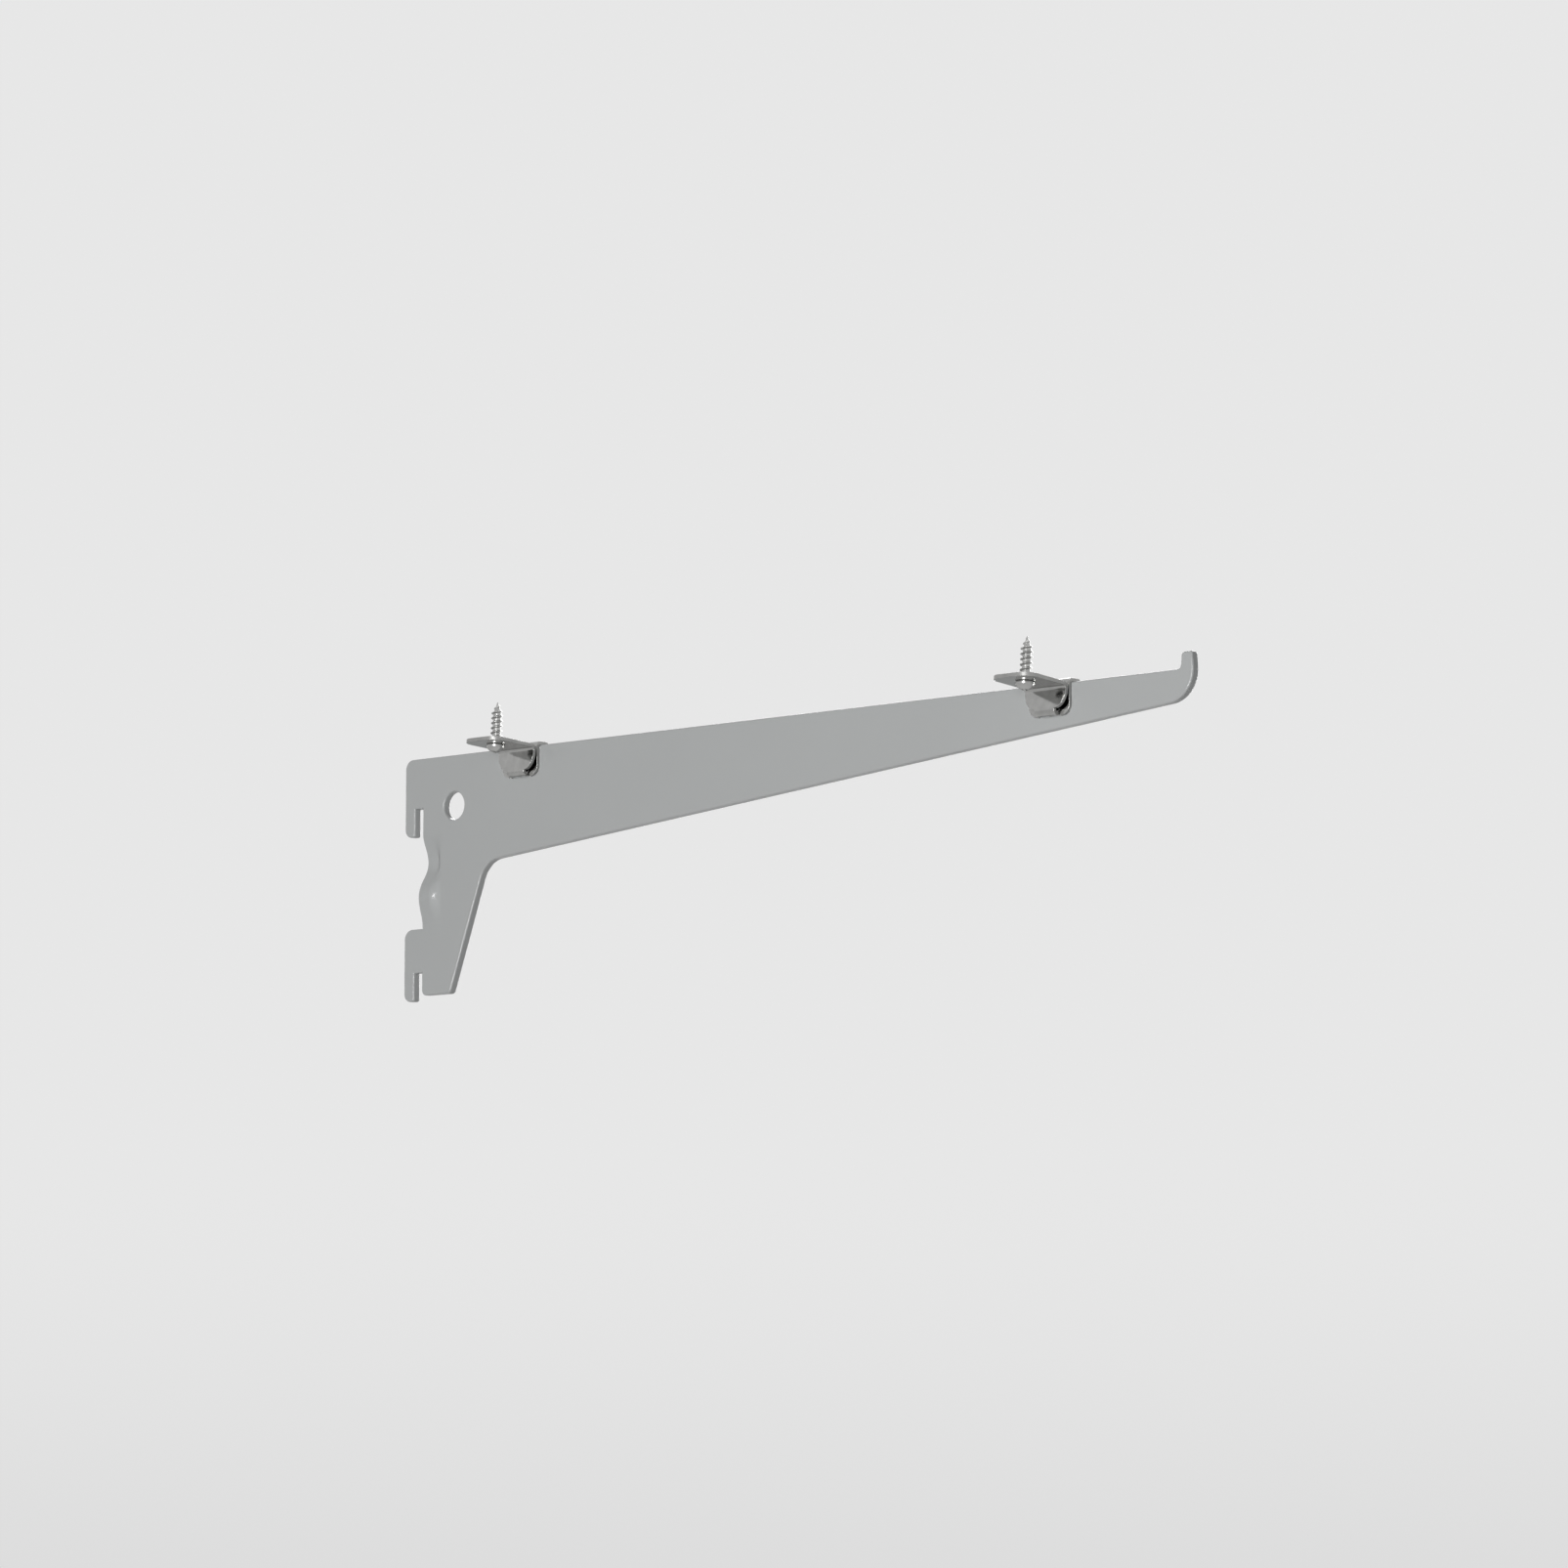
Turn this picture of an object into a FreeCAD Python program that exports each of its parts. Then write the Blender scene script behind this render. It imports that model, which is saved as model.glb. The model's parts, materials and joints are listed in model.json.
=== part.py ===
import FreeCAD, Part
import math
import os

# Shelf bracket for a wall rail with a single row of slots.
# A flat steel plate hooks into the rail and carries the board on its top edge.
# Two folded sheet clips straddle the top edge, and one screw each holds them to the board.
#
# Frame: X runs out from the front face of the rail, Y across the plate, Z up.
# The origin is on that face, level with the top edge and in the middle of the plate's thickness.

Vector = FreeCAD.Vector
X_AXIS = Vector(1, 0, 0)
Y_AXIS = Vector(0, 1, 0)
Z_AXIS = Vector(0, 0, 1)

# Arm: one stamped plate, with a long tapered arm and a short leg below it
plate_thickness = 2.8
arm_reach = 296.5
arm_depth_at_rail = 35.7
arm_depth_at_nose = 8.3
leg_root_width = 27.6
leg_foot_width = 13.0
foot_below_seat = 6.9
leg_root_radius = 8.5
foot_corner_radius = 1.6
tip_radius = 9.0
edge_round = 0.6
rear_edge_gap = 1.0

# Nose: the upturned stop at the front end of the arm
nose_thickness = 4.4
nose_taper = 0.4
nose_height = 4.7
nose_root_radius = 1.5
nose_inner_radius = 1.2
nose_front_radius = 0.8

# Hooks: two necks that pass through the rail slots, each with a nose behind the rail wall.
# The upper neck carries the top edge straight back.
hook_pitch = 50.0
hook_seat_depth = 15.3
lower_neck_height = 13.4
hook_wall_gap = 2.3
hook_nose_thickness = 4.3
hook_nose_drop = 8.5
hook_inner_radius = 0.8
hook_lead_radius = 2.4
hook_back_radius = 3.0

# Cross hole below the top edge
hole_diameter = 8.5
hole_from_rail = 14.3
hole_below_top = 15.4

# Wave pressed sideways into the rear edge, between the hooks, which steadies the plate on the rail
wave_dent = 2.3
wave_bulge = 1.7
wave_level_width = 4.4
wave_fade_width = 3.8
wave_below_seat = 7.7
wave_above_neck = 0.6
wave_lobe_share = 0.61
wave_sections = 9
wave_curve_points = 6

# Clips: one sheet each, folded as flange, outer tongue, hem, inner tongue, saddle and far lip
clip_sheet = 1.1
clip_width = 14.4
clip_rear_from_rail = 43.2
clip_front_from_nose = 49.3
flange_reach = 16.0
flange_corner_radius = 4.0
flange_bend_radius = 2.0
tongue_depth = 9.2
tongue_inner_corner_radius = 3.0
hem_gap = 0.6
hem_width = 7.0
hem_slit = 0.4
saddle_bend_radius = 0.3
lip_depth = 4.0
lip_clearance = 0.2
lip_end_radius = 0.3

# Clip screws: domed head below the flange, plain shank up into the board
screw_from_tongue = 8.5
screw_hole_diameter = 4.2
screw_shank_diameter = 3.5
screw_length = 13.0
screw_point_length = 3.5
screw_head_diameter = 5.6
screw_head_height = 2.4
screw_head_rim = 0.7

# Places that follow from the sizes above
plate_half = plate_thickness / 2
lower_seat_depth = hook_seat_depth + hook_pitch
lower_neck_depth = lower_seat_depth - lower_neck_height
foot_depth = lower_seat_depth + foot_below_seat
wave_top = hook_seat_depth + wave_below_seat
wave_bottom = lower_neck_depth - wave_above_neck
wave_length = wave_bottom - wave_top
wave_width = wave_level_width + wave_fade_width
tongue_back = -plate_half
tongue_front = tongue_back - clip_sheet
outer_back = tongue_front - hem_gap
outer_face = outer_back - clip_sheet
hem_outer_radius = (tongue_back - outer_face) / 2
hem_tangent_depth = tongue_depth - hem_outer_radius
screw_y = outer_face - screw_from_tongue


def rounded_wire(corners, place):
    """A closed wire through corners (u, v, radius), each rounded by its radius, 0 for a sharp one."""
    points = [Vector(u, v, 0) for u, v, radius in corners]
    runs = []
    for index, (u, v, radius) in enumerate(corners):
        corner = points[index]
        before = (points[index - 1] - corner).normalize()
        after = (points[(index + 1) % len(points)] - corner).normalize()
        half_angle = before.getAngle(after) / 2
        setback = radius / math.tan(half_angle)
        start = corner + before * setback
        end = corner + after * setback
        middle = (before + after).normalize() * (radius / math.sin(half_angle) - radius) + corner
        runs.append((start, middle, end, radius))
    edges = []
    for index, (start, middle, end, radius) in enumerate(runs):
        if radius > 0:
            edges.append(Part.Arc(place(start), place(middle), place(end)).toShape())
        following = runs[(index + 1) % len(runs)][0]
        if not end.isEqual(following, 1e-6):
            edges.append(Part.LineSegment(place(end), place(following)).toShape())
    return Part.Wire(edges)


def side_prism(corners, y_from, y_to):
    """A solid whose outline (x, z, radius) lies in the XZ plane, from one Y to another."""
    wire = rounded_wire(corners, lambda p: Vector(p.x, y_from, p.y))
    return Part.Face(wire).extrude(Y_AXIS * (y_to - y_from))


def arm_depth(x):
    """Depth of the arm's straight lower edge below its top edge, at a distance from the rail."""
    return arm_depth_at_rail + (arm_depth_at_nose - arm_depth_at_rail) * x / arm_reach


def hook_corners(seat_depth, neck_depth):
    """One hook, from below its neck, round its nose, to the back end of its neck's upper edge."""
    nose_inside = -hook_wall_gap
    nose_outside = nose_inside - hook_nose_thickness
    nose_end = -seat_depth - hook_nose_drop
    return [
        (rear_edge_gap, -seat_depth, 0),
        (nose_inside, -seat_depth, 0),
        (nose_inside, nose_end, hook_inner_radius),
        (nose_outside, nose_end, hook_lead_radius),
        (nose_outside, -neck_depth, hook_back_radius),
    ]


def wave_offset(depth):
    """Sideways shift of the rear edge at a depth below the top edge: a dent, then a bulge."""
    lobe_half = wave_length * wave_lobe_share / 2

    def lobe(centre):
        share = abs(depth - centre) / lobe_half
        return math.cos(math.pi / 2 * share) ** 2 if share < 1 else 0.0

    return wave_dent * lobe(wave_top + lobe_half) - wave_bulge * lobe(wave_bottom - lobe_half)


def wave_section(depth):
    """Level section through the waved strip: the plate's own section, set over at its rear."""
    shift = wave_offset(depth)
    rear = rear_edge_gap

    def flank(side):
        level_start = Vector(rear + edge_round, side * plate_half + shift, -depth)
        level_end = Vector(rear + wave_level_width, side * plate_half + shift, -depth)
        points = []
        for index in range(wave_curve_points):
            share = index / (wave_curve_points - 1)
            sway = shift * (1 - math.cos(math.pi / 2 * share) ** 2)
            points.append(level_end + Vector(wave_fade_width * share, -sway, 0))
        curve = Part.BSplineCurve()
        curve.interpolate(Points=points, InitialTangent=X_AXIS, FinalTangent=X_AXIS)
        return [Part.LineSegment(level_start, level_end).toShape(), curve.toShape()]

    def corner(side):
        inset = edge_round * (1 - math.sqrt(0.5))
        outer = side * plate_half + shift
        return Part.Arc(
            Vector(rear + edge_round, outer, -depth),
            Vector(rear + inset, outer - side * inset, -depth),
            Vector(rear, outer - side * edge_round, -depth),
        ).toShape()

    rear_half = plate_half - edge_round
    rear_line = Part.LineSegment(
        Vector(rear, shift - rear_half, -depth), Vector(rear, shift + rear_half, -depth)
    ).toShape()
    front_line = Part.LineSegment(
        Vector(rear + wave_width, -plate_half, -depth), Vector(rear + wave_width, plate_half, -depth)
    ).toShape()
    edges = flank(-1) + flank(1) + [corner(-1), corner(1), rear_line, front_line]
    return Part.Wire(Part.__sortEdges__(edges))


def make_arm():
    """The stamped plate: outline, cross hole, rounded edges, then the wave in its rear edge."""
    nose_x = arm_reach - nose_thickness
    tip_x = arm_reach + nose_taper * arm_depth_at_nose / nose_height
    rear_corner = (rear_edge_gap, -lower_neck_depth, 0)
    lower_hook = hook_corners(lower_seat_depth, lower_neck_depth)
    upper_hook = hook_corners(hook_seat_depth, 0)
    outline = [
        (nose_x, 0, nose_root_radius),
        (nose_x + nose_taper, nose_height, nose_inner_radius),
        (arm_reach - nose_taper, nose_height, nose_front_radius),
        (tip_x, -arm_depth(tip_x), tip_radius),
        (leg_root_width, -arm_depth(leg_root_width), leg_root_radius),
        (leg_foot_width, -foot_depth, foot_corner_radius),
        (rear_edge_gap, -foot_depth, foot_corner_radius),
    ]
    plate = side_prism(outline + lower_hook + [rear_corner] + upper_hook, -plate_half, plate_half)
    hole_axis = Vector(hole_from_rail, -plate_half, -hole_below_top)
    plate = plate.cut(Part.makeCylinder(hole_diameter / 2, plate_thickness, hole_axis, Y_AXIS))
    rims = [edge for edge in plate.Edges if abs(abs(edge.CenterOfMass.y) - plate_half) < 1e-6]
    plate = plate.makeFillet(edge_round, rims)
    window_start = Vector(0, -plate_thickness, -wave_bottom)
    window_width = rear_edge_gap + wave_width
    plate = plate.cut(Part.makeBox(window_width, 2 * plate_thickness, wave_length, window_start))
    depths = [wave_top + wave_length * index / (wave_sections - 1) for index in range(wave_sections)]
    wave = Part.makeLoft([wave_section(depth) for depth in depths], True, False)
    return plate.fuse(wave).removeSplitter()


def clip_profile():
    """The folded sheet seen along X: flange, outer tongue, hem, inner tongue, saddle and lip."""
    flange_end = outer_face - flange_reach
    lip_inside = plate_half + lip_clearance
    lip_outside = lip_inside + clip_sheet
    hem_inner_radius = hem_gap / 2
    hem_inside = -tongue_depth + clip_sheet
    return [
        (flange_end, clip_sheet, 0),
        (outer_back, clip_sheet, flange_bend_radius + clip_sheet),
        (outer_back, hem_inside, hem_inner_radius),
        (tongue_front, hem_inside, hem_inner_radius),
        (tongue_front, clip_sheet, saddle_bend_radius + clip_sheet),
        (lip_outside, clip_sheet, saddle_bend_radius + clip_sheet),
        (lip_outside, -lip_depth, lip_end_radius),
        (lip_inside, -lip_depth, lip_end_radius),
        (lip_inside, 0, saddle_bend_radius),
        (tongue_back, 0, saddle_bend_radius),
        (tongue_back, -tongue_depth, hem_outer_radius),
        (outer_face, -tongue_depth, hem_outer_radius),
        (outer_face, 0, flange_bend_radius),
        (flange_end, 0, 0),
    ]


def make_clip(x):
    """One clip, centred at a distance from the rail."""
    half = clip_width / 2
    hem_half = hem_width / 2
    wire = rounded_wire(clip_profile(), lambda p: Vector(-half, p.x, p.y))
    strip = Part.Face(wire).extrude(X_AXIS * clip_width)
    free_corners = [
        edge for edge in strip.Edges
        if abs(edge.CenterOfMass.y - (outer_face - flange_reach)) < 1e-6
        and abs(abs(edge.CenterOfMass.x) - half) < 1e-6
    ]
    strip = strip.makeFillet(flange_corner_radius, free_corners)

    def tongue_outline(corner_radius):
        top = 2 * clip_sheet
        bottom = -tongue_depth - clip_sheet
        return [
            (-half, top, 0),
            (half, top, 0),
            (half, -hem_tangent_depth, corner_radius),
            (hem_half, -hem_tangent_depth, 0),
            (hem_half, bottom, 0),
            (-hem_half, bottom, 0),
            (-hem_half, -hem_tangent_depth, 0),
            (-half, -hem_tangent_depth, corner_radius),
        ]

    middle = (outer_back + tongue_front) / 2
    near_end = outer_face - flange_reach - clip_sheet
    far_end = plate_half + lip_clearance + 2 * clip_sheet
    outer_part = strip.common(side_prism(tongue_outline(half - hem_half), near_end, middle))
    inner_part = strip.common(side_prism(tongue_outline(0), middle, far_end))
    ear_size = Vector(half - hem_half - hem_slit, clip_sheet, hem_outer_radius)
    ear_starts = (-half, half - ear_size.x)
    ears = [
        Part.makeBox(ear_size.x, ear_size.y, ear_size.z, Vector(start, tongue_front, -tongue_depth))
        for start in ear_starts
    ]
    clip = outer_part.fuse([inner_part] + ears).removeSplitter()
    ear_corners = [
        edge for edge in clip.Edges
        if abs(abs(edge.CenterOfMass.x) - half) < 1e-6
        and abs(edge.CenterOfMass.z + tongue_depth) < 1e-6
    ]
    clip = clip.makeFillet(tongue_inner_corner_radius, ear_corners)
    hole = Part.makeCylinder(screw_hole_diameter / 2, clip_sheet, Vector(0, screw_y, 0), Z_AXIS)
    clip = clip.cut(hole)
    clip.translate(Vector(x, 0, 0))
    return clip


def make_screw(x):
    """One clip screw, turned about its axis, with its head against the flange from below."""
    head = screw_head_diameter / 2
    shank = screw_shank_diameter / 2
    point = screw_length - screw_point_length
    crown = Vector(0, 0, -screw_head_height)
    rim = Vector(head, 0, -screw_head_rim)
    dome_height = screw_head_height - screw_head_rim
    dome_radius = (head ** 2 + dome_height ** 2) / (2 * dome_height)
    lean = math.asin(head / dome_radius) / 2
    dome_middle = Vector(
        dome_radius * math.sin(lean), 0, -screw_head_height + dome_radius * (1 - math.cos(lean))
    )
    edges = [Part.Arc(crown, dome_middle, rim).toShape()]
    corners = [
        rim,
        Vector(head, 0, 0),
        Vector(shank, 0, 0),
        Vector(shank, 0, point),
        Vector(0, 0, screw_length),
        crown,
    ]
    for start, end in zip(corners, corners[1:]):
        edges.append(Part.LineSegment(start, end).toShape())
    screw = Part.Face(Part.Wire(edges)).revolve(Vector(0, 0, 0), Z_AXIS, 360)
    screw.translate(Vector(x, screw_y, 0))
    return screw


rear_clip_x = clip_rear_from_rail
front_clip_x = arm_reach - clip_front_from_nose
nodes = {
    "bracket_arm": make_arm(),
    "rear_clip": make_clip(rear_clip_x),
    "front_clip": make_clip(front_clip_x),
    "clip_screws": Part.makeCompound([make_screw(rear_clip_x), make_screw(front_clip_x)]),
}

os.makedirs("parts", exist_ok=True)
for name, shape in nodes.items():
    shape.exportStep("parts/" + name + ".step")
    print(name, "valid" if shape.isValid() else "not valid", len(shape.Solids), "solids",
          round(shape.Volume, 1), "mm3")
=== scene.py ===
# %% [markdown]
# Hanging shelf bracket
#
# The bracket is a stamped and painted steel plate with two folded, plated clips on its top edge and
# one screw through each clip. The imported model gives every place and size. This lesson dresses it:
# the plate keeps its mesh and gets a paint, the clips are folded again from a strip, as a press
# does it, and the screws get their thread and cross recess. All lengths are in metres.

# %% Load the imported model
import json
import math

import bmesh
import bpy
from mathutils import Matrix, Vector
from mathutils.geometry import intersect_line_line


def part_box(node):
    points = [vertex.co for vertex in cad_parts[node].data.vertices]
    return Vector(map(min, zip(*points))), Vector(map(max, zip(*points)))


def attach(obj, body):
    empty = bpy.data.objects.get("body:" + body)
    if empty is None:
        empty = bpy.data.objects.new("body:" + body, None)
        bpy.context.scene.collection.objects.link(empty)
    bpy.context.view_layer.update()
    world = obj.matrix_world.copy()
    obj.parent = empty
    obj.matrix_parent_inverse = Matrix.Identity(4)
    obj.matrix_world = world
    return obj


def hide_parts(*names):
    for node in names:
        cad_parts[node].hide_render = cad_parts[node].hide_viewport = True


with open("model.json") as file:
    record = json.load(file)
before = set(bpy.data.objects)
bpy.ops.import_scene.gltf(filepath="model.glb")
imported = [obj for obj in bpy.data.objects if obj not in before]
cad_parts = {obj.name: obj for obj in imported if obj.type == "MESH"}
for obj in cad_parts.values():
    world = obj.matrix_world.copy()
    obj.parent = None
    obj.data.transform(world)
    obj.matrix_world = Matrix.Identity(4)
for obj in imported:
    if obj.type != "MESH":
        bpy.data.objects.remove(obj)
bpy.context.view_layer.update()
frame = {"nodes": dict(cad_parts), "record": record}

MM = 0.001
scene = bpy.context.scene

# %% [markdown]
# The camera looks from the photo's angle: in front of the nose and to the left of the plate, a
# little below the bracket and slightly up, from nearly two metres away with a long lens. A long
# lens keeps the far leg almost as large as the near nose. The place and the line of sight were
# worked out from straight edges in the photo, so they are written down as they are.

# %% Camera
camera_place = Vector((1.2594, -1.2420, -0.2231))
line_of_sight = Vector((-0.6623, 0.7394, 0.1212))
lens_mm = 134.4
view_reach = 100.0

camera = bpy.data.objects.new("camera", bpy.data.cameras.new("camera"))
scene.collection.objects.link(camera)
camera.location = camera_place
camera.rotation_mode = "QUATERNION"
camera.rotation_quaternion = line_of_sight.to_track_quat("-Z", "Y")
camera.data.lens = lens_mm
camera.data.clip_end = view_reach
scene.camera = camera
scene.view_settings.view_transform = "Standard"

# %% [markdown]
# The studio is a pale floor well below the bracket and a pale surround with a soft horizon, lighter
# above and darker below. The camera and the shiny surfaces see that surround, so plated metal has a
# light and a dark half to mirror. All other rays get a lower, even level, which keeps the faces
# that the lamps don't reach darker, as they are on the real bracket.

# %% Surround
surround_above = 0.80
surround_below = 0.68
horizon_blur = 0.06
surround_fill = 0.12


def rays_that_see(tree):
    """A socket that is 1 for rays from the camera, in a mirror or through glass, and else 0."""
    rays = tree.nodes.new("ShaderNodeLightPath")
    seen = rays.outputs["Is Camera Ray"]
    for kind in ("Is Glossy Ray", "Is Transmission Ray"):
        either = tree.nodes.new("ShaderNodeMath")
        either.operation = "MAXIMUM"
        tree.links.new(seen, either.inputs[0])
        tree.links.new(rays.outputs[kind], either.inputs[1])
        seen = either.outputs[0]
    return seen


world = bpy.data.worlds.new("studio")
scene.world = world
world.use_nodes = True
tree = world.node_tree
sky = tree.nodes.new("ShaderNodeTexCoord")
split = tree.nodes.new("ShaderNodeSeparateXYZ")
tree.links.new(sky.outputs["Generated"], split.inputs["Vector"])
horizon = tree.nodes.new("ShaderNodeMapRange")
horizon.interpolation_type = "SMOOTHSTEP"
horizon.inputs["From Min"].default_value = -horizon_blur
horizon.inputs["From Max"].default_value = horizon_blur
horizon.inputs["To Min"].default_value = surround_below
horizon.inputs["To Max"].default_value = surround_above
tree.links.new(split.outputs["Z"], horizon.inputs["Value"])
level = tree.nodes.new("ShaderNodeMix")
level.inputs["A"].default_value = surround_fill
tree.links.new(rays_that_see(tree), level.inputs["Factor"])
tree.links.new(horizon.outputs["Result"], level.inputs["B"])
tree.links.new(level.outputs["Result"], tree.nodes["Background"].inputs["Strength"])
tree.nodes["Background"].inputs["Color"].default_value = (1.0, 1.0, 1.0, 1.0)
print("surround", surround_above, "above,", surround_below, "below,", surround_fill, "as fill")

# %% [markdown]
# The floor is one large square. It lies so far down that the lamps leave no bright patch on it, and
# its far edge meets the surround at nearly the same tone.

# %% Floor
floor_height = -3.0
floor_size = 60.0

bm = bmesh.new()
bmesh.ops.create_grid(bm, x_segments=1, y_segments=1, size=floor_size / 2,
                      matrix=Matrix.Translation((0, 0, floor_height)))
floor_mesh = bpy.data.meshes.new("floor")
bm.to_mesh(floor_mesh)
bm.free()
floor = bpy.data.objects.new("floor", floor_mesh)
scene.collection.objects.link(floor)
print("floor at", floor_height, "m")

# %% [markdown]
# Three soft lamps light the bracket. The key lamp is a tall strip that stands low on the left and
# in front: it makes the left face the lightest and leaves a narrow upright shine on rounded forms.
# A large lamp overhead and one behind keep the other sides readable. A lamp's share says how bright
# a white card turned to it would look from that lamp alone, where 1 is white, and the power follows
# from it.

# %% Lamps
target = Vector((0.15, 0.0, -0.03))


def soft_lamp(name, direction, distance, width, height, share):
    """A soft lamp that shines at the bracket from a direction."""
    lamp = bpy.data.lights.new(name, "AREA")
    lamp.shape = "RECTANGLE"
    lamp.size = width
    lamp.size_y = height
    lamp.energy = share * math.pi ** 2 * distance ** 2
    holder = bpy.data.objects.new(name, lamp)
    scene.collection.objects.link(holder)
    towards = Vector(direction).normalized()
    holder.location = target + towards * distance
    holder.rotation_mode = "QUATERNION"
    holder.rotation_quaternion = towards.to_track_quat("Z", "Y")
    place = tuple(round(v, 2) for v in holder.location)
    print(name, "at", place, "energy", round(lamp.energy, 1))


soft_lamp("key_lamp", direction=(0.34, -0.93, -0.14), distance=1.8, width=0.35, height=1.1,
          share=0.89)
soft_lamp("top_lamp", direction=(-0.10, 0.10, 1.00), distance=1.8, width=1.6, height=1.6,
          share=0.14)
soft_lamp("back_lamp", direction=(-0.45, 0.85, 0.25), distance=2.0, width=1.2, height=1.2,
          share=0.68)

# %% [markdown]
# Every finish is a node material that reads Object coordinates, so that a pattern stays in place on
# the metal. A small helper starts a material and adds nodes with their values set.

# %% Material helpers
ramp_start, ramp_end = 0.3, 0.7


def start_material(name):
    """A new node material, its node tree and its main shader."""
    material = bpy.data.materials.new(name)
    material.use_nodes = True
    tree = material.node_tree
    return material, tree, tree.nodes["Principled BSDF"]


def add_node(tree, kind, **values):
    """Adds a node and sets the named inputs, where _ stands for a space."""
    node = tree.nodes.new(kind)
    for name, value in values.items():
        node.inputs[name.replace("_", " ")].default_value = value
    return node


def two_tones(tree, fac, low, high):
    """Mixes two grey or coloured tones by a factor socket and gives the colour socket."""
    ramp = tree.nodes.new("ShaderNodeValToRGB")
    ramp.color_ramp.elements[0].position = ramp_start
    ramp.color_ramp.elements[0].color = (*low, 1.0)
    ramp.color_ramp.elements[1].position = ramp_end
    ramp.color_ramp.elements[1].color = (*high, 1.0)
    tree.links.new(fac, ramp.inputs["Fac"])
    return ramp.outputs["Color"]


def ranged(tree, fac, low, high):
    """Maps a 0 to 1 socket to a range and gives the value socket."""
    node = add_node(tree, "ShaderNodeMapRange", To_Min=low, To_Max=high)
    tree.links.new(fac, node.inputs["Value"])
    return node.outputs["Result"]


def add_bump(tree, shader, height, strength, distance):
    """Sends a height socket through a Bump node into the shader."""
    bump = add_node(tree, "ShaderNodeBump", Strength=strength, Distance=distance)
    tree.links.new(height, bump.inputs["Height"])
    tree.links.new(bump.outputs["Normal"], shader.inputs["Normal"])


print("helpers ready")

# %% [markdown]
# The floor is a matt pale card with a faint mottle. It glows a little, but only for the camera and
# in mirrors, so it stays pale behind the bracket without lighting it.

# %% Floor card
card_dark = (0.61, 0.61, 0.60)
card_light = (0.64, 0.64, 0.63)
card_roughness = 0.9
card_glow = 0.57

card, tree, shader = start_material("pale_card")
coords = tree.nodes.new("ShaderNodeTexCoord")
mottle = add_node(tree, "ShaderNodeTexNoise", Scale=6.0, Detail=3.0)
tree.links.new(coords.outputs["Object"], mottle.inputs["Vector"])
tree.links.new(two_tones(tree, mottle.outputs["Fac"], card_dark, card_light),
               shader.inputs["Base Color"])
shader.inputs["Roughness"].default_value = card_roughness
tree.links.new(ranged(tree, rays_that_see(tree), 0.0, card_glow),
               shader.inputs["Emission Strength"])
floor_mesh.materials.append(card)
print("floor card glows", card_glow)

# %% [markdown]
# The plate is painted a light neutral grey with a semi-gloss finish. Sprayed paint isn't a mirror:
# it has a very fine orange-peel skin, a slightly uneven gloss and a tone that drifts a little over
# the length. Three noises of different size give these three, and the colour itself is the
# record's.

# %% Grey paint on the plate
slots = {entry["slot"]: entry for entry in frame["record"]["materials"]}
paint_tone = Vector(slots["grey_paint"]["base_color"])
drift_low, drift_high = 0.985, 1.01
gloss_low, gloss_high = 0.17, 0.25
skin_strength = 0.12
skin_depth = 0.04 * MM

paint, tree, shader = start_material("grey_paint_finish")
coords = tree.nodes.new("ShaderNodeTexCoord")
drift = add_node(tree, "ShaderNodeTexNoise", Scale=22.0, Detail=4.0, Roughness=0.6)
skin = add_node(tree, "ShaderNodeTexNoise", Scale=1300.0, Detail=2.0)
gloss = add_node(tree, "ShaderNodeTexNoise", Scale=160.0, Detail=3.0)
for noise in (drift, skin, gloss):
    tree.links.new(coords.outputs["Object"], noise.inputs["Vector"])
tree.links.new(two_tones(tree, drift.outputs["Fac"], paint_tone * drift_low,
                         paint_tone * drift_high), shader.inputs["Base Color"])
tree.links.new(ranged(tree, gloss.outputs["Fac"], gloss_low, gloss_high),
               shader.inputs["Roughness"])
add_bump(tree, shader, skin.outputs["Fac"], skin_strength, skin_depth)

plate = frame["nodes"]["bracket_arm"]
plate.material_slots[0].material = paint
print("painted", plate.name, "with", len(plate.data.polygons), "faces")

# %% [markdown]
# The clips are bright plated sheet. Rolled sheet has fine streaks along the strip. The strip runs
# in the YZ plane and its width is X, so a noise that is stretched in Y and Z and squeezed in X
# follows the strip round every fold. The sheared edges are duller than the rolled faces, and their
# streaks run across the sheet. The plating is darker than the record's colour, which looked too
# light beside the photo.

# %% Plated sheet
sheet_tone = Vector(slots["plated_sheet"]["base_color"])
plating_low, plating_high = 0.70, 0.83
smooth_streak, rough_streak = 0.8, 1.25
streak_strength = 0.06
streak_depth = 0.02 * MM
edge_dullness = 0.9


def plated_finish(name, tone, roughness, streak_scale):
    """Bright plated metal with fine streaks, as many to the metre as the scale says."""
    material, tree, shader = start_material(name)
    coords = tree.nodes.new("ShaderNodeTexCoord")
    stretch = add_node(tree, "ShaderNodeMapping", Scale=streak_scale)
    tree.links.new(coords.outputs["Object"], stretch.inputs["Vector"])
    streaks = add_node(tree, "ShaderNodeTexNoise", Scale=1.0, Detail=4.0, Roughness=0.65)
    tree.links.new(stretch.outputs["Vector"], streaks.inputs["Vector"])
    cloud = add_node(tree, "ShaderNodeTexNoise", Scale=420.0, Detail=3.0)
    tree.links.new(coords.outputs["Object"], cloud.inputs["Vector"])
    tree.links.new(two_tones(tree, cloud.outputs["Fac"], tone * plating_low, tone * plating_high),
                   shader.inputs["Base Color"])
    tree.links.new(ranged(tree, streaks.outputs["Fac"], roughness * smooth_streak,
                          roughness * rough_streak), shader.inputs["Roughness"])
    shader.inputs["Metallic"].default_value = 1.0
    add_bump(tree, shader, streaks.outputs["Fac"], streak_strength, streak_depth)
    return material


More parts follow.
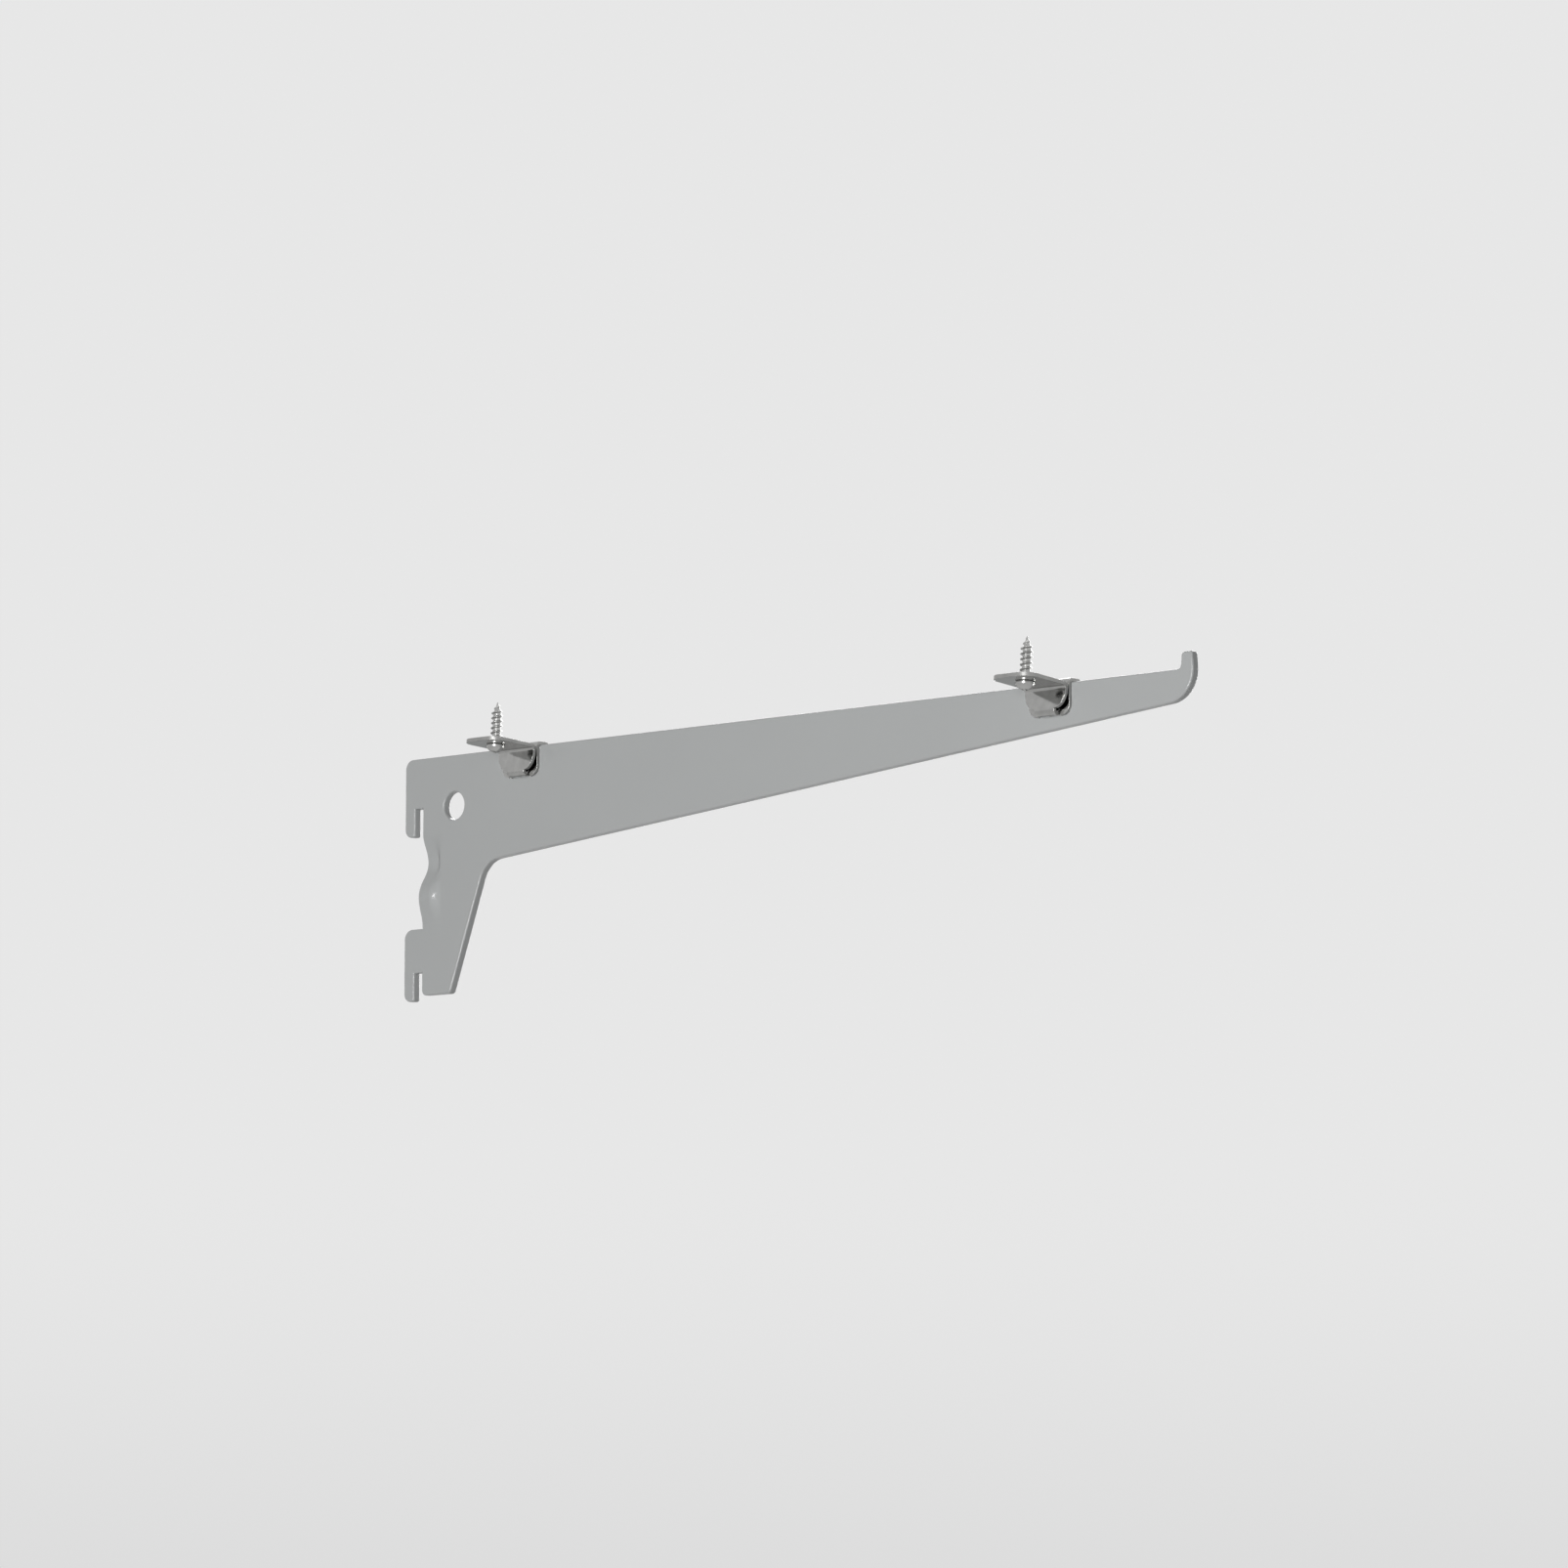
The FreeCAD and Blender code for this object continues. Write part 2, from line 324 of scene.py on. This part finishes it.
rolled_face = plated_finish("plated_sheet_face", sheet_tone, roughness=0.09,
                            streak_scale=(2600.0, 90.0, 90.0))
sheared_edge = plated_finish("plated_sheet_edge", sheet_tone * edge_dullness, roughness=0.36,
                             streak_scale=(500.0, 2200.0, 2200.0))
print("plated sheet tone", tuple(sheet_tone))

# %% [markdown]
# A clip starts as a flat strip, and the press folds it: down from the flange to the outer tongue,
# back on itself in a hem, up the inner tongue, over the plate's top edge and down in a short lip.
# So the mesh is made the same way. A pen walks along the middle of the sheet with one edge as wide
# as the strip: a straight run extrudes the edge, and a bend spins it about the bend's centre. The
# screw pulls the flange's free end up, so the flange rises a few degrees towards it, and the outer
# tongue leans away from the plate towards its foot. The two clips are not tightened alike.

# %% Sizes of the clip
sheet = 1.1 * MM
hem_width = 7.0 * MM
hem_slit = 0.4 * MM
flange_bend = 0.8 * MM
saddle_bend = 0.3 * MM
flange_corner = 4.0 * MM
ear_corner = 3.0 * MM
lip_depth = 4.0 * MM
lip_clearance = 0.2 * MM
hole_diameter = 4.2 * MM
flange_border = 0.4 * MM

clip_low, clip_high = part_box("rear_clip")
clip_half = (clip_high.x - clip_low.x) / 2
flange_end = clip_low.y
tongue_depth = -clip_low.z
lip_outside = clip_high.y
plate_half = lip_outside - sheet - lip_clearance
screw_line = (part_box("clip_screws")[0].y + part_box("clip_screws")[1].y) / 2
print("clip", round(2 * clip_half / MM, 2), "mm wide")
print("plate", round(2 * plate_half / MM, 2), "mm thick")

# %% [markdown]
# The pen keeps the edge that is at the end of the strip, its place in the YZ plane and its heading.

# %% A pen that folds a strip
def only(kind, elements):
    """The elements of one kind among those that an operator has made."""
    return [element for element in elements if isinstance(element, kind)]


class StripPen:
    """Grows a strip of sheet from an edge, by straight runs and bends, in a bmesh."""

    def __init__(self, bm, verts, heading):
        self.bm = bm
        self.heading = Vector(heading)
        self.ends = [e for e in bm.edges if all(v in verts for v in e.verts)]

    def place(self):
        """A point on the strip's end, with its X left at 0."""
        point = self.ends[0].verts[0].co
        return Vector((0, point.y, point.z))

    def straight(self, length):
        """Extrudes the end edge along the heading."""
        made = bmesh.ops.extrude_edge_only(self.bm, edges=self.ends)["geom"]
        verts = only(bmesh.types.BMVert, made)
        bmesh.ops.translate(self.bm, verts=verts, vec=self.heading * length)
        self.ends = [e for e in only(bmesh.types.BMEdge, made) if all(v in verts for v in e.verts)]

    def bend(self, angle, radius, steps):
        """Spins the end edge about a centre beside it. Positive turns from +Y towards +Z."""
        side = Vector((0, -self.heading.z, self.heading.y)) * math.copysign(1, angle)
        geom = self.ends + list(dict.fromkeys(v for e in self.ends for v in e.verts))
        made = bmesh.ops.spin(self.bm, geom=geom, cent=self.place() + side * radius,
                              axis=(1, 0, 0), angle=angle, steps=steps)["geom_last"]
        self.ends = only(bmesh.types.BMEdge, made)
        self.heading = Matrix.Rotation(angle, 3, "X") @ self.heading


print("pen ready")

# %% [markdown]
# The flange's free end is level with the saddle, and from there the flange falls towards its fold.
# The screw needs the same line later, so it is kept in two small functions.

# %% Line of the flange
def free_end(rise):
    """The middle of the sheet at the flange's free end, where it is level with the saddle."""
    return Vector((0, flange_end + sheet / 2 * math.sin(rise), sheet / 2))


def flange_height(y, rise):
    """Height of the middle of the sheet at a place along the flange."""
    end = free_end(rise)
    return end.z - (y - end.y) * math.tan(rise)


print("flange ends at", round(flange_end / MM, 2), "mm, screw at", round(screw_line / MM, 2), "mm")

# %% [markdown]
# Two ears hang beside the hem, with a slit between, and join the strip above it. The free corners
# are rounded by a vertex bevel. The flange is filled again round a circle for the screw, and a
# narrow border along both rims keeps the long thin faces of that fill away from the soft edges.

# %% Ears, corners and hole of a clip
corner_steps = 10
hole_steps = 40
nearly_level = 0.9


def add_ears(bm, pen, centre_x, hem_level):
    """Joins two ears to the strip's end, beside the hem, and gives the seams at their tops."""
    row = sorted({v for e in pen.ends for v in e.verts}, key=lambda v: v.co.x)
    tongue_y = pen.place().y
    seams = []
    for side, hem_vert in zip((-1, 1), (row[0], row[-1])):
        inner = centre_x + side * (hem_width / 2 + hem_slit)
        outer = centre_x + side * clip_half
        ear_foot = [bm.verts.new((x, tongue_y, -tongue_depth)) for x in (inner, outer)]
        bm.edges.new(ear_foot)
        ear = StripPen(bm, ear_foot, (0, 0, 1))
        ear.straight(hem_level + tongue_depth)
        ear_top = min((v for e in ear.ends for v in e.verts), key=lambda v: abs(v.co.x - centre_x))
        seams += ear.ends
        pen.ends += ear.ends + [bm.edges.new((ear_top, hem_vert))]
    return seams


def round_corners(bm, centre_x, y, z, radius, stretch=Matrix.Identity(4)):
    """Rounds the strip's two outer corners at a place in the YZ plane, and stretches them."""
    for side in (-1, 1):
        corner = Vector((centre_x + side * clip_half, y, z))
        vert = min(bm.verts, key=lambda v: (v.co - corner).length)
        made = bmesh.ops.bevel(bm, geom=[vert], offset=radius, offset_type="OFFSET",
                               affect="VERTICES", segments=corner_steps, profile=0.5,
                               material=-1, clamp_overlap=True)["verts"]
        bmesh.ops.transform(bm, verts=made, matrix=stretch, space=Matrix.Translation(-corner))


def open_hole(bm, centre_x, rise):
    """Fills the flange again, inside a narrow border and round a hole for the screw."""
    level_faces = [f for f in bm.faces if abs(f.normal.z) > nearly_level]
    flange_face = max(level_faces, key=lambda f: f.calc_area())
    bmesh.ops.inset_region(bm, faces=[flange_face], thickness=flange_border, use_boundary=True,
                           use_even_offset=True)
    gap = list(flange_face.edges)
    bmesh.ops.delete(bm, geom=[flange_face], context="FACES_ONLY")
    hole_centre = Vector((centre_x, screw_line, flange_height(screw_line, rise)))
    hole_radius = hole_diameter / 2
    ring_radius = hole_radius + flange_border
    tilt = Matrix.Translation(hole_centre) @ Matrix.Rotation(-rise, 4, "X")
    circle = bmesh.ops.create_circle(bm, segments=hole_steps, radius=ring_radius, matrix=tilt)
    ring = list(dict.fromkeys(e for v in circle["verts"] for e in v.link_edges))
    bmesh.ops.triangle_fill(bm, edges=gap + ring, use_beauty=True)
    made = bmesh.ops.extrude_edge_only(bm, edges=ring)["geom"]
    bmesh.ops.scale(bm, verts=only(bmesh.types.BMVert, made),
                    vec=(hole_radius / ring_radius,) * 3, space=Matrix.Translation(-hole_centre))


print("hole of", round(hole_diameter / MM, 2), "mm")

# %% [markdown]
# The flange and the outer tongue are one width. At the tongue's foot the edge is cut in three and
# only the middle goes on into the hem. Above the ears the whole width goes up, over the saddle and
# down the lip. The length of flange and tongue follows from where their two lines cross, less what
# the bend between them takes up.

# %% Fold a clip
flange_steps = 8
hem_steps = 14
saddle_steps = 6
foot_stretch = 1.35
foot_margin = 0.01 * MM
clip_weld = 0.02 * MM


def middle_of_sheet(centre_x, rise, lean, foot_gap):
    """The folded strip as one surface in the middle of the sheet's thickness."""
    bm = bmesh.new()
    begin = free_end(rise)
    start = [bm.verts.new((centre_x + side * clip_half, begin.y, begin.z)) for side in (-1, 1)]
    bm.edges.new(start)
    way_in = Vector((0, math.cos(rise), -math.sin(rise)))
    up_the_tongue = Vector((0, math.sin(lean), math.cos(lean)))
    hem_radius = (foot_gap + sheet) / 2
    hem_level = -tongue_depth + sheet / 2 + hem_radius
    hem_centre = Vector((0, -plate_half - sheet / 2 - hem_radius, hem_level))
    foot = hem_centre + hem_radius * Vector((0, -math.cos(lean), math.sin(lean)))
    turn = math.pi / 2 + lean - rise
    bend_radius = flange_bend + sheet / 2
    setback = bend_radius * math.tan(turn / 2)
    fold = intersect_line_line(begin, begin + way_in, foot, foot + up_the_tongue)[0]

    pen = StripPen(bm, start, way_in)
    pen.straight((fold - begin).length - setback)
    pen.bend(-turn, bend_radius, flange_steps)
    pen.straight((fold - foot).length - setback)

    cut = bmesh.ops.subdivide_edges(bm, edges=pen.ends, cuts=2)["geom_inner"]
    hem_ends = only(bmesh.types.BMVert, cut)
    for vert in hem_ends:
        vert.co.x = centre_x + math.copysign(hem_width / 2, vert.co.x - centre_x)
    pen.ends = [e for e in bm.edges if all(v in hem_ends for v in e.verts)]
    pen.bend(math.pi + lean, hem_radius, hem_steps)

    tongue_y = pen.place().y
    ear_seams = add_ears(bm, pen, centre_x, hem_level)
    pen.straight(-saddle_bend - hem_level)
    bmesh.ops.dissolve_edges(bm, edges=ear_seams, use_verts=True)
    pen.bend(-math.pi / 2, saddle_bend + sheet / 2, saddle_steps)
    pen.straight(lip_outside - sheet - saddle_bend - pen.place().y)
    pen.bend(-math.pi / 2, saddle_bend + sheet / 2, saddle_steps)
    pen.straight(lip_depth - saddle_bend)

    round_corners(bm, centre_x, begin.y, begin.z, flange_corner)
    round_corners(bm, centre_x, foot.y, foot.z, clip_half - hem_width / 2 - foot_margin,
                  Matrix.Scale(foot_stretch, 4, up_the_tongue))
    round_corners(bm, centre_x, tongue_y, -tongue_depth, ear_corner)
    open_hole(bm, centre_x, rise)
    bmesh.ops.remove_doubles(bm, verts=bm.verts, dist=clip_weld)
    bmesh.ops.recalc_face_normals(bm, faces=bm.faces)
    return bm


print("strip", round(sheet / MM, 2), "mm thick, hem", round(hem_width / MM, 2), "mm wide")

# %% [markdown]
# The folded surface has no thickness yet. A Solidify modifier gives it the sheet's thickness, half
# to each side, and puts the second finish on the cut edges. A Bevel modifier then takes the
# sharpness off those edges, so that they catch a thin line of light.

# %% Both clips
soft_edge = 0.1 * MM
soft_edge_angle = math.radians(50)


def make_clip(name, node, rise, lean, foot_gap):
    """A folded clip in place of a packed one: the middle surface, thickened and softly edged."""
    low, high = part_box(node)
    bm = middle_of_sheet((low.x + high.x) / 2, rise, lean, foot_gap)
    for face in bm.faces:
        face.smooth = True
    mesh = bpy.data.meshes.new(name)
    bm.to_mesh(mesh)
    bm.free()
    mesh.materials.append(rolled_face)
    mesh.materials.append(sheared_edge)
    clip = bpy.data.objects.new(name, mesh)
    scene.collection.objects.link(clip)
    thick = clip.modifiers.new("sheet thickness", "SOLIDIFY")
    thick.thickness = sheet
    thick.offset = 0.0
    thick.use_even_offset = True
    thick.material_offset_rim = 1
    soft = clip.modifiers.new("soft edges", "BEVEL")
    soft.width = soft_edge
    soft.segments = 2
    soft.limit_method = "ANGLE"
    soft.angle_limit = soft_edge_angle
    soft.harden_normals = True
    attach(clip, "root")
    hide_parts(node)
    print(name, "folded from", len(mesh.polygons), "faces")


rear_rise, front_rise = math.radians(3.5), math.radians(4.5)
rear_lean, front_lean = math.radians(5.5), math.radians(8.0)
make_clip("rear_clip_folded", "rear_clip", rear_rise, rear_lean, foot_gap=1.0 * MM)
make_clip("front_clip_folded", "front_clip", front_rise, front_lean, foot_gap=1.2 * MM)

# %% [markdown]
# Each screw has a domed head, a cross recess and a coarse thread with a point. The head starts as a
# ball that is cut off at the rim, and its open edge is pulled up and drawn in to the neck. The
# thread is one tooth's outline spun up a helix, so that each turn meets the next. It is trimmed
# flat, bridged to the neck and drawn to a point.

# %% Sizes of a screw
screw_low, screw_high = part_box("clip_screws")
head_radius = (clip_low.x + clip_high.x) / 2 - screw_low.x
head_height = -screw_low.z
screw_length = screw_high.z
head_rim = 0.7 * MM
rim_round = 0.25 * MM
crest_radius = 1.75 * MM
core_radius = 1.2 * MM
thread_pitch = 1.5 * MM
thread_start = 0.3 * MM
thread_weld = 0.01 * MM
point_length = 3.5 * MM
tip_trim = 0.1 * MM
turn_steps = 36
same_place = 1e-7
print("head", round(2 * head_radius / MM, 2), "mm wide")
print("screw", round(screw_length / MM, 2), "mm long")

# %% Head of a screw
near_rim = 0.9


def boundary(bm):
    """The edges of a bmesh that have a face on one side only."""
    return [edge for edge in bm.edges if edge.is_boundary]


def pull_edge(bm, lift, factor):
    """Extrudes the open edge, lifts it and scales it about the screw's axis."""
    made = bmesh.ops.extrude_edge_only(bm, edges=boundary(bm))["geom"]
    verts = only(bmesh.types.BMVert, made)
    bmesh.ops.translate(bm, verts=verts, vec=(0, 0, lift))
    bmesh.ops.scale(bm, verts=verts, vec=(factor, factor, 1))


def round_rim(bm, height):
    """Bevels the ring of edges round the head at one height."""
    ring = [e for e in bm.edges
            if all(abs(v.co.z - height) < same_place
                   and v.co.xy.length > near_rim * head_radius for v in e.verts)]
    bmesh.ops.bevel(bm, geom=ring, offset=rim_round, offset_type="OFFSET", affect="EDGES",
                    segments=4, profile=0.5, material=-1)


def screw_head():
    """The domed head below Z = 0, open where the thread joins it."""
    dome_height = head_height - head_rim
    ball_radius = (head_radius ** 2 + dome_height ** 2) / (2 * dome_height)
    bm = bmesh.new()
    bmesh.ops.create_uvsphere(bm, u_segments=64, v_segments=48, radius=ball_radius,
                              matrix=Matrix.Translation((0, 0, ball_radius - head_height)))
    bmesh.ops.bisect_plane(bm, geom=bm.verts[:] + bm.edges[:] + bm.faces[:], dist=same_place,
                           plane_co=(0, 0, -head_rim), plane_no=(0, 0, 1), clear_outer=True)
    pull_edge(bm, head_rim, 1.0)
    pull_edge(bm, 0.0, core_radius / head_radius)
    round_rim(bm, -head_rim)
    round_rim(bm, 0.0)
    print("head with", len(bm.faces), "faces on a ball of", round(ball_radius / MM, 2), "mm")
    return bm


print("dome", round((head_height - head_rim) / MM, 2), "mm high")

# %% Thread of a screw
# One tooth: radius, and rise in parts of the pitch
tooth = ((core_radius, 0.0), (core_radius, 0.45), (crest_radius, 0.68), (crest_radius, 0.77),
         (core_radius, 1.0))


def add_thread(bm):
    """Spins one tooth up a helix, trims it, draws out the point and bridges it to the head."""
    neck = boundary(bm)
    head_verts = set(bm.verts)
    turns = math.ceil(screw_length / thread_pitch) + 1
    verts = [bm.verts.new((radius, 0, (rise - 1) * thread_pitch)) for radius, rise in tooth]
    edges = [bm.edges.new(pair) for pair in zip(verts, verts[1:])]
    bmesh.ops.spin(bm, geom=verts + edges, cent=(0, 0, 0), axis=(0, 0, 1), angle=math.tau * turns,
                   steps=turn_steps * turns, dvec=(0, 0, thread_pitch / turn_steps))
    bmesh.ops.remove_doubles(bm, verts=[v for v in bm.verts if v not in head_verts],
                             dist=thread_weld)
    for height, up in ((thread_start, -1), (screw_length - tip_trim, 1)):
        verts = [v for v in bm.verts if v not in head_verts]
        edges = [e for e in bm.edges if not any(v in head_verts for v in e.verts)]
        faces = [f for f in bm.faces if not any(v in head_verts for v in f.verts)]
        bmesh.ops.bisect_plane(bm, geom=verts + edges + faces, dist=same_place,
                               plane_co=(0, 0, height), plane_no=(0, 0, up), clear_outer=True)
    for vert in bm.verts:
        taper = (screw_length - vert.co.z) / point_length
        if taper < 1:
            bmesh.ops.scale(bm, verts=[vert], vec=(taper, taper, 1))
    open_edges = [e for e in boundary(bm) if e not in neck]
    tip = [e for e in open_edges if e.verts[0].co.z > screw_length / 2]
    foot = [e for e in open_edges if e.verts[0].co.z <= screw_length / 2]
    bmesh.ops.holes_fill(bm, edges=tip)
    bmesh.ops.bridge_loops(bm, edges=neck + foot)
    bmesh.ops.recalc_face_normals(bm, faces=bm.faces)


print("thread of", round(thread_pitch / MM, 2), "mm pitch")

# %% [markdown]
# The cross recess is cut with two tapered wedges by a Boolean modifier, which is then applied, so
# that the finished screw is one closed mesh. One screw is made at the origin and copied to each
# clip, turned a little each time, because screws seldom stop at the same angle.

# %% Cross recess
recess_length = 3.3 * MM
recess_width = 0.75 * MM
recess_depth = 1.5 * MM
recess_taper = (0.3, 0.6, 1.0)
sharp_angle = math.radians(40)


def recess_wedge(turn):
    """One wedge of the cross, as an object for the Boolean modifier."""
    bm = bmesh.new()
    bmesh.ops.create_cube(bm, size=1.0)
    bmesh.ops.scale(bm, verts=bm.verts, vec=(recess_length, recess_width, 2 * recess_depth))
    bmesh.ops.scale(bm, verts=[v for v in bm.verts if v.co.z > 0], vec=recess_taper)
    bmesh.ops.translate(bm, verts=bm.verts, vec=(0, 0, -head_height))
    bmesh.ops.rotate(bm, verts=bm.verts, cent=(0, 0, 0), matrix=Matrix.Rotation(turn, 3, "Z"))
    mesh = bpy.data.meshes.new("recess_wedge")
    bm.to_mesh(mesh)
    bm.free()
    wedge = bpy.data.objects.new("recess_wedge", mesh)
    scene.collection.objects.link(wedge)
    return wedge


def screw_mesh():
    """A finished screw at the origin."""
    bm = screw_head()
    add_thread(bm)
    mesh = bpy.data.meshes.new("screw_blank")
    bm.to_mesh(mesh)
    bm.free()
    blank = bpy.data.objects.new("screw_blank", mesh)
    scene.collection.objects.link(blank)
    wedges = [recess_wedge(turn) for turn in (0.0, math.pi / 2)]
    for wedge in wedges:
        cut = blank.modifiers.new("cross recess", "BOOLEAN")
        cut.operation = "DIFFERENCE"
        cut.solver = "EXACT"
        cut.object = wedge
    depsgraph = bpy.context.evaluated_depsgraph_get()
    finished = bpy.data.meshes.new_from_object(blank.evaluated_get(depsgraph))
    for helper in [blank] + wedges:
        bpy.data.objects.remove(helper)
    finished.shade_smooth()
    finished.set_sharp_from_angle(angle=sharp_angle)
    return finished


screw_shape = screw_mesh()
print("screw with", len(screw_shape.polygons), "faces")

# %% [markdown]
# The screws have the same bright plating as the clips, a little rougher. Each one stands square to
# its flange, so it leans as the flange does, with its head flat against the underside.

# %% Both screws
screw_tone = Vector(slots["plated_screw"]["base_color"])
screw_finish = plated_finish("plated_screw_finish", screw_tone, roughness=0.24,
                             streak_scale=(700.0, 700.0, 1800.0))


def make_screw(name, node, rise, turn):
    """A screw through a clip, in place of a packed one, with its head flat against the flange."""
    low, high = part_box(node)
    mesh = screw_shape.copy()
    seat = flange_height(screw_line, rise) - sheet / 2 / math.cos(rise)
    place = Matrix.Translation(((low.x + high.x) / 2, screw_line, seat))
    mesh.transform(place @ Matrix.Rotation(-rise, 4, "X") @ Matrix.Rotation(turn, 4, "Z"))
    mesh.materials.clear()
    mesh.materials.append(screw_finish)
    screw = bpy.data.objects.new(name, mesh)
    scene.collection.objects.link(screw)
    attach(screw, "root")
    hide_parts("clip_screws")
    print(name, "with", len(mesh.polygons), "faces")


make_screw("rear_clip_screw", "rear_clip", rear_rise, turn=math.radians(20))
make_screw("front_clip_screw", "front_clip", front_rise, turn=math.radians(65))

# %% [markdown]
# At the end, the view layer is updated once more.

# %% Update the view layer
bpy.context.view_layer.update()
